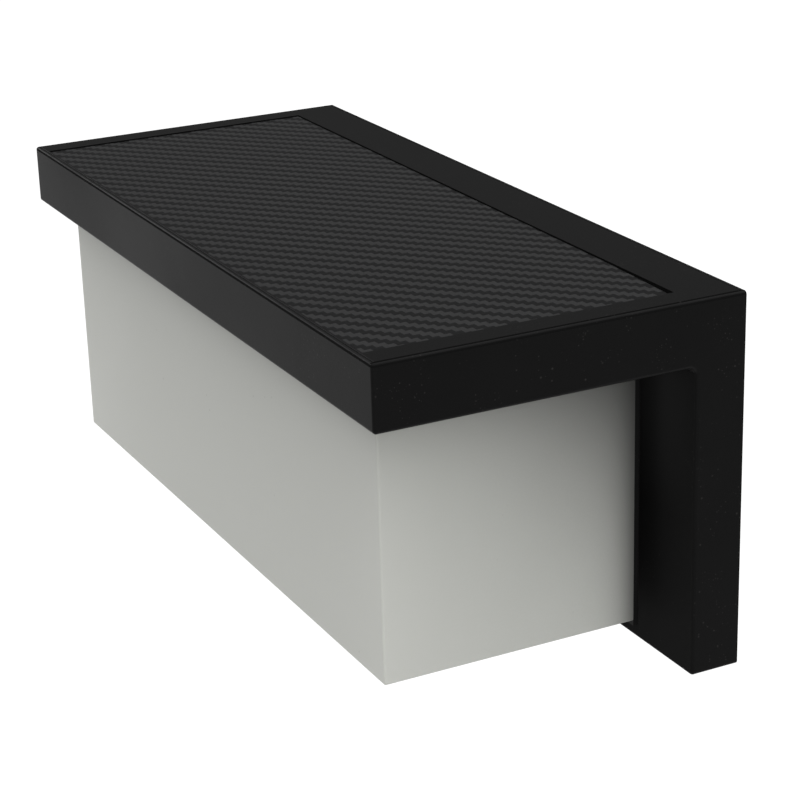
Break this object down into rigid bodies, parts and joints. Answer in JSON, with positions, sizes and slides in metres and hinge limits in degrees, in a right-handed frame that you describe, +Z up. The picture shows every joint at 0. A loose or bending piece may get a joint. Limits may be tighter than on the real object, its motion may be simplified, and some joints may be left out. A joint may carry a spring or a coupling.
{
  "type": "solar wall light",
  "caption": "Wall-hung solar lamp: L-shaped black housing with a carbon-look panel on top and an opal diffuser box below, lifting off a steel wall bracket.",
  "frame": {"origin": "on the wall plane, midway between the bracket's two screw holes", "axes": "+X along the wall, +Y into the wall, +Z up; the lamp stands out of the wall towards -Y"},
  "size_m": [0.22, 0.0953, 0.0945],
  "materials": {
    "black_moulding": "fine satin grain",
    "carbon_film": "carbon-look twill film, satin",
    "solar_cell": "dark monocrystalline cell",
    "panel_laminate": "dark glass-fibre laminate",
    "foam_tape": "closed-cell foam tape",
    "seal_rubber": "soft black rubber",
    "screw_steel": "zinc-plated steel",
    "opal_diffuser": "opal polycarbonate, satin",
    "white_reflector": "white reflector sheet",
    "led_board_white": "aluminium board with white solder mask",
    "led_phosphor": "yellow phosphor in a white package",
    "pouch_foil": "laminated aluminium foil",
    "circuit_board": "green solder mask",
    "component_black": "moulded component body",
    "plug_nylon": "natural nylon",
    "button_rubber": "soft-touch rubber",
    "lead_sleeve": "silicone sleeve",
    "zinc_steel": "zinc-plated pressed steel"
  },
  "bodies": {
    "bracket": {"wall_bracket": "zinc_steel"},
    "lamp": {"housing": "black_moulding", "top_frame": "black_moulding", "soffit_plate": "black_moulding", "diffuser_back": "black_moulding", "rear_cover": "black_moulding", "carbon_film": "carbon_film", "solar_cells": "solar_cell", "panel_board": "panel_laminate", "panel_tape": "foam_tape", "battery_tape": "foam_tape", "soffit_seal": "seal_rubber", "rear_cover_seal": "seal_rubber", "soffit_screws": "screw_steel", "diffuser_back_screws": "screw_steel", "led_board_screws": "screw_steel", "board_screws": "screw_steel", "rear_cover_screws": "screw_steel", "diffuser": "opal_diffuser", "reflector": "white_reflector", "led_board": "led_board_white", "leds": "led_phosphor", "battery_pouch": "pouch_foil", "control_board": "circuit_board", "board_parts": "component_black", "board_plugs": "plug_nylon", "switch_body": "component_black", "panel_leads": "lead_sleeve", "led_leads": "lead_sleeve", "battery_leads": "lead_sleeve", "switch_leads": "lead_sleeve"},
    "button": {"switch_button": "button_rubber"}
  },
  "joints": [
    {"name": "lamp_lift", "type": "slide", "parent": "bracket", "child": "lamp", "axis": [0, 0, 1], "range_m": [0, 0.027]},
    {"name": "switch_press", "type": "slide", "parent": "lamp", "child": "button", "axis": [0, 0, 1], "range_m": [0, 0.0012], "stiffness_N_per_m": 1000, "springref_m": -0.0008}
  ]
}
